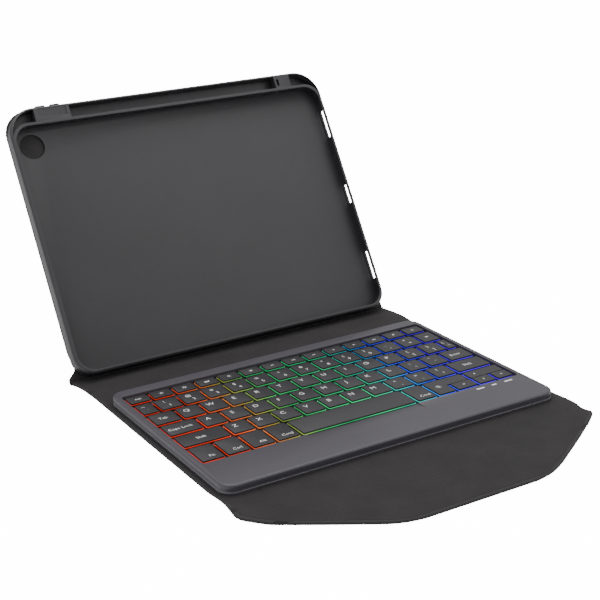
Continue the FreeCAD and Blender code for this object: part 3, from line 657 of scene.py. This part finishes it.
def word_mark(bm, node_name, mark, x, y, top):
    """The letters of one cap, placed from its middle as their kind needs."""
    if isinstance(mark, tuple):
        glyph(bm, mark[0], x - 1.4 * MM, y + 2.7 * MM, 4.2, top)
        glyph(bm, mark[1], x + 0.4 * MM, y - 3.0 * MM, 4.2, top)
    elif len(mark) == 1:
        glyph(bm, mark, x - 1.8 * MM, y + 1.8 * MM, 5.2, top)
    elif node_name == "modifier_keys":
        glyph(bm, mark, x + 1.2 * MM, y - 5.2 * MM, 3.9, top)
    else:
        glyph(bm, mark, x - 1.0 * MM, y - 0.5 * MM, 3.9, top)


def legend(bm, node_name, number, low, high):
    """The mark on one cap, whose box runs from low to high."""
    x, y = (low.x + high.x) / 2, (low.y + high.y) / 2
    top = high.z - PRINT_SINK
    if node_name == "function_keys":
        function_mark(bm, number, x, y, top)
    elif node_name == "arrow_up_key":
        arrow(bm, low.x + 6.1 * MM, y, 1.0, ARROW_TURNS[node_name], top)
    elif node_name in ARROW_TURNS:
        size = 1.5 if node_name == "backspace_key" else 1.0
        arrow(bm, x, y, size, ARROW_TURNS[node_name], top)
    elif node_name == "backlight_key":
        sun(bm, low.x + 6.3 * MM, low.y + 10.5 * MM, 1.0, 0.3, 1.8, 0.4, top)
    elif node_name in LEGENDS:
        word_mark(bm, node_name, LEGENDS[node_name][number], x, y, top)


# ---------------------------------------------------------------- keyboard

# from a cap's foot: a near-black band of painted shade round its wall goes up to WALL_TOP and
# down to FOOT_DEPTH, and the lit rim goes on down to GLOW_DEPTH; each stands out a little from
# the cap's sides
WALL_TOP, FOOT_DEPTH, WALL_OUT = 0.60 * MM, 0.06 * MM, 0.03 * MM
GLOW_DEPTH, GLOW_OUT = 0.44 * MM, 0.28 * MM


def cap_boxes(node_name):
    """The boxes of a node's separate solids, from left to right, as (low, high) in metres."""
    bm = cad_mesh(node_name)
    seen, boxes = set(), []
    for start in bm.verts:
        if start in seen:
            continue
        stack, group = [start], []
        seen.add(start)
        while stack:
            vert = stack.pop()
            group.append(vert.co.copy())
            for edge in vert.link_edges:
                other = edge.other_vert(vert)
                if other not in seen:
                    seen.add(other)
                    stack.append(other)
        low = Vector([min(p[i] for p in group) for i in range(3)])
        high = Vector([max(p[i] for p in group) for i in range(3)])
        boxes.append((low, high))
    bm.free()
    return sorted(boxes, key=lambda box: box[0].x)


def skirt(node_name, kind, bm, top, bottom, out, material):
    """Drops the flat outlines in bm from top to bottom, a little wider than the caps."""
    for vert in bm.verts:
        vert.co.z = top
    dropped = bmesh.ops.extrude_face_region(bm, geom=list(bm.faces))
    for item in dropped["geom"]:
        if isinstance(item, bmesh.types.BMVert):
            item.co.z = bottom
    bmesh.ops.recalc_face_normals(bm, faces=bm.faces)
    bm.normal_update()
    for vert in bm.verts:
        flat = Vector((vert.normal.x, vert.normal.y, 0))
        vert.co += flat.normalized() * out
    piece = new_object(node_name.replace("_key", kind), bm, material)
    piece.data.polygons.foreach_set("use_smooth", [False] * len(piece.data.polygons))
    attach(piece, nodes[node_name]["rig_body"])


def cap_skirts(node_name):
    """Round each cap a near-black band of painted shade over its wall, and under it the lit rim
    where the backlight escapes.
    """
    outlines = cad_mesh(node_name)
    low = min(v.co.z for v in outlines.verts)
    high = max(v.co.z for v in outlines.verts)
    below = [f for f in outlines.faces if f.calc_center_median().z <= high - 1e-6]
    bmesh.ops.delete(outlines, geom=below, context="FACES")
    bmesh.ops.dissolve_limit(outlines, angle_limit=0.01, verts=outlines.verts,
                             edges=outlines.edges)
    shade_outline = outlines.copy()
    # the near-black band of painted shade round the cap's wall
    skirt(node_name, "_foot", shade_outline, low + WALL_TOP, low - FOOT_DEPTH, WALL_OUT, CAP_SHADE)
    skirt(node_name, "_glow", outlines, low - FOOT_DEPTH, low - GLOW_DEPTH, GLOW_OUT,
          FINISHES["guide"])


def keycaps():
    """The caps, the rims under them and what is printed on them."""
    for node_name in [name for name in nodes if name.endswith(("_keys", "_key"))]:
        copied(node_name, node_name.replace("_key", "_cap"), 0.30, 3, 40.0)
        cap_skirts(node_name)
        bm = bmesh.new()
        for number, (low, high) in enumerate(cap_boxes(node_name)):
            legend(bm, node_name, number, low, high)
        if len(bm.verts):
            piece = new_object(node_name.replace("_key", "_legend"), bm, LEGEND)
            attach(piece, nodes[node_name]["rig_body"])
        else:
            bm.free()


def key_bed():
    """The dark mask over the light guide, which shows between the keys."""
    low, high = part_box("light_guide")
    x0, x1, y0, y1 = low.x / MM, high.x / MM, low.y / MM, high.y / MM
    rows_count, edge = 40, 0.4
    rows = [y1 - edge - k * (y1 - y0 - 2 * edge) / rows_count for k in range(rows_count + 1)]
    leaf("key_bed", "base", rows, lambda y: x0 + edge, lambda y: x1 - edge, 5.2, 5.55, "keycap",
         0.3, ["light_guide"])


def seam_bead_painted_highlight():
    """A fine bead round the housing where its two mouldings meet, coloured far lighter than the
    housing as a painted highlight along the seam.
    """
    low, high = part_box("keyboard_top_case")
    corner, steps = 9.0 * MM, 12
    inside, bulge, crest = -0.3, 0.12, 0.084
    section = [(inside, -0.16), (crest, -0.16), (bulge, -0.08), (bulge, 0.08), (crest, 0.16),
               (inside, 0.16)]
    bm = bmesh.new()
    rings = []
    left, right, front, back = low.x + corner, high.x - corner, low.y + corner, high.y - corner
    for cx, cy, start in ((right, back, 0), (left, back, 90), (left, front, 180),
                          (right, front, 270)):
        for k in range(steps + 1):
            a = math.radians(start + 90 * k / steps)
            rings.append([bm.verts.new((cx + math.cos(a) * (corner + d * MM),
                                        cy + math.sin(a) * (corner + d * MM), low.z + h * MM))
                          for d, h in section])
    for before, after in zip(rings, rings[1:] + rings[:1]):
        band(bm, before, after)
    bmesh.ops.recalc_face_normals(bm, faces=bm.faces)
    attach(new_object("housing_seam_bead_painted_highlight", bm, SEAM_HIGHLIGHT), "base")


def housing():
    key_bed()
    seam_bead_painted_highlight()
    copied("keyboard_top_case", "keyboard_upper_moulding", 0.25)
    copied("keyboard_bottom_case", "keyboard_lower_moulding", 0.25)
    copied("indicator_lenses", "indicator_windows", 0.12, 2)
    copied("power_switch", "power_slider", 0.2)
    copied("charging_port", "charging_socket", 0.1, 2)


def shell():
    copied("shell_bumper", "shell_frame", 0.35)
    copied("stylus_bay", "stylus_rail", 0.35)
    copied("shell_back", "shell_back_plate", 0.2)
    copied("volume_up_button", "volume_up_cap", 0.4)
    copied("volume_down_button", "volume_down_cap", 0.4)


# ---------------------------------------------------------------- floor, light and camera

# strengths of the backdrop: of the light that it sheds, and as the camera sees it
FLOOR_LIT, FLOOR_SEEN = 0.05, 14.0
SKY_LOW, SKY_HIGH, SKY_SEEN = 0.38, 1.15, 15.0
LAMPS = (("overhead", (0.1, 0.3, 1.6), 1.6, 20.0), ("left_window", (-1.5, -0.3, 1.2), 1.2, 3.2),
         ("front_right", (0.9, -1.2, 0.9), 1.0, 5.0))
LAMP_TARGET = Vector((0, 0, 0.05))


def whiten(tree, lit, seen, strength):
    """Gives a backdrop two strengths: lit for the light that it sheds, seen for its own look."""
    path = tree.nodes.new("ShaderNodeLightPath")
    choose = tree.nodes.new("ShaderNodeMapRange")
    if isinstance(lit, float):
        choose.inputs["To Min"].default_value = lit
    else:
        tree.links.new(lit, choose.inputs["To Min"])
    choose.inputs["To Max"].default_value = seen
    tree.links.new(path.outputs["Is Camera Ray"], choose.inputs["Value"])
    tree.links.new(choose.outputs["Result"], strength)


def paper_floor():
    bm = bmesh.new()
    bmesh.ops.create_grid(bm, x_segments=4, y_segments=4, size=6.0)
    mesh = bpy.data.meshes.new("floor")
    bm.to_mesh(mesh)
    bm.free()
    floor = bpy.data.objects.new("floor", mesh)
    bpy.context.scene.collection.objects.link(floor)
    floor.location.z = -0.0002
    pale = bpy.data.materials.new("pale_floor")
    pale.use_nodes = True
    shader = pale.node_tree.nodes["Principled BSDF"]
    shader.inputs["Base Color"].default_value = (0.93, 0.93, 0.93, 1)
    shader.inputs["Roughness"].default_value = 0.9
    shader.inputs["Specular IOR Level"].default_value = 0.1
    shader.inputs["Emission Color"].default_value = (1, 1, 1, 1)
    whiten(pale.node_tree, FLOOR_LIT, FLOOR_SEEN, shader.inputs["Emission Strength"])
    mesh.materials.append(pale)


def sky():
    """White light from all round, stronger from above."""
    world = bpy.data.worlds.new("studio")
    world.use_nodes = True
    tree = world.node_tree
    background = tree.nodes["Background"]
    background.inputs["Color"].default_value = (1, 1, 1, 1)
    split = tree.nodes.new("ShaderNodeSeparateXYZ")
    tree.links.new(tree.nodes.new("ShaderNodeTexCoord").outputs["Generated"],
                   split.inputs["Vector"])
    rise = tree.nodes.new("ShaderNodeMapRange")
    rise.inputs["To Min"].default_value = SKY_LOW
    rise.inputs["To Max"].default_value = SKY_HIGH
    tree.links.new(split.outputs["Z"], rise.inputs["Value"])
    whiten(tree, rise.outputs["Result"], SKY_SEEN, background.inputs["Strength"])
    bpy.context.scene.world = world


def lamps():
    """Large soft lamps, each given by its name, place, size in metres and power in watts."""
    for name, place, size, power in LAMPS:
        lamp = bpy.data.lights.new(name, "AREA")
        lamp.size = size
        lamp.energy = power
        holder = bpy.data.objects.new(name, lamp)
        bpy.context.scene.collection.objects.link(holder)
        holder.location = place
        holder.rotation_euler = (LAMP_TARGET - Vector(place)).to_track_quat("-Z", "Y").to_euler()


def camera():
    """The photograph's viewpoint: place in metres, then heading, dip and lean."""
    place, focal = Vector((-0.43455, -0.69833, 0.36542)), 82.46
    heading, dip, lean = math.radians(30.78), math.radians(19.72), math.radians(-1.5)
    forward = Vector((math.sin(heading) * math.cos(dip), math.cos(heading) * math.cos(dip),
                      -math.sin(dip)))
    right = Vector((math.cos(heading), -math.sin(heading), 0))
    across = right * math.cos(lean) + right.cross(forward) * math.sin(lean)
    view = bpy.data.cameras.new("camera")
    view.lens = focal
    view.sensor_width = 36.0
    view.clip_start = 0.01
    holder = bpy.data.objects.new("camera", view)
    bpy.context.scene.collection.objects.link(holder)
    turn = Matrix((across, across.cross(forward), -forward)).transposed().to_4x4()
    holder.matrix_world = Matrix.Translation(place) @ turn
    bpy.context.scene.camera = holder


folio_leaves()
crease("rear_crease", REAR_CREASE, "rear_fold_leather")
crease("front_crease", FRONT_CREASE, "front_fold_leather")
crease("tongue_crease", TONGUE_CREASE, "tongue_fold_leather")
cover_crease()
cover_skin()
housing()
shell()
keycaps()
paper_floor()
sky()
lamps()
camera()
